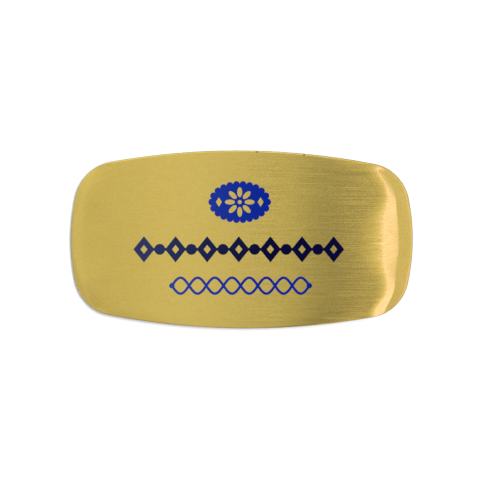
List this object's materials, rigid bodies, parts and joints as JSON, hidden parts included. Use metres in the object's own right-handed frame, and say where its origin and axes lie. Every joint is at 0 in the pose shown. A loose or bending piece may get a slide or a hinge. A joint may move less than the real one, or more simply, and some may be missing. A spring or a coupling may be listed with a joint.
{
  "type": "name badge",
  "caption": "Barrel-shaped brushed brass name badge with its two ends bent down, blue printed ornaments in place of words and a flat magnet bar behind.",
  "frame": {"origin": "centre of the magnet bar's back face, on the surface that the badge lies on", "axes": "+X along the badge, to the right as its print is seen, +Y towards its top edge, +Z out of its face"},
  "size_m": [0.075, 0.0388, 0.0035],
  "materials": {
    "plate": "brushed along its length, clear lacquer, thin bright bevel at the rim",
    "royal_blue_ink": "cured printing ink, semi-gloss",
    "navy_ink": "cured printing ink, semi-gloss",
    "magnet": "satin nickel plating"
  },
  "bodies": {
    "root": {"face_plate": "plate", "emblem_print": "royal_blue_ink", "name_print": "navy_ink", "role_print": "royal_blue_ink", "magnet_bar": "magnet"}
  },
  "joints": []
}
